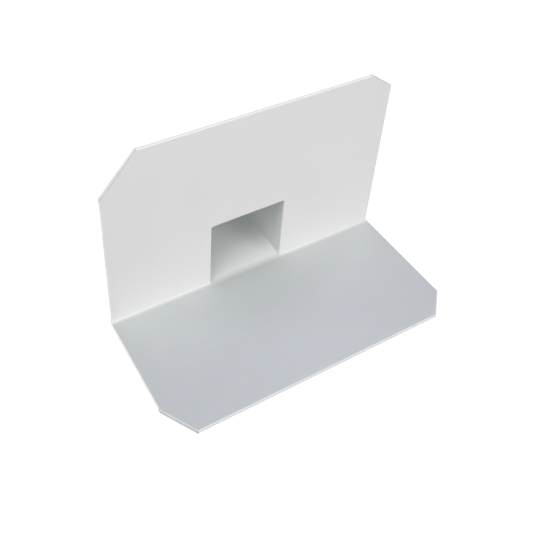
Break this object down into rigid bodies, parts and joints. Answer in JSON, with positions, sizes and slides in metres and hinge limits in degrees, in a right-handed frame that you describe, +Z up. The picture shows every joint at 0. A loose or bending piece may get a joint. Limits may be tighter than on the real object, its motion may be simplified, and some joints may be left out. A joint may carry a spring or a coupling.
{
  "type": "roof scupper",
  "caption": "One-piece plastic roof scupper: a floor plate and a wall plate at a right angle, with a square spout that leads rainwater from a flat roof out through its parapet.",
  "frame": {"origin": "on the underside, below the front face of the wall plate, midway between the ends of the floor plate", "axes": "+X along the parapet, +Y back through the parapet along the spout, +Z up"},
  "size_m": [0.374, 0.322, 0.247],
  "materials": {
    "pvc": "off-white rigid PVC, satin as moulded, greyer and duller on the floor plate's upper face"
  },
  "bodies": {
    "root": {"scupper": "pvc"}
  },
  "joints": []
}
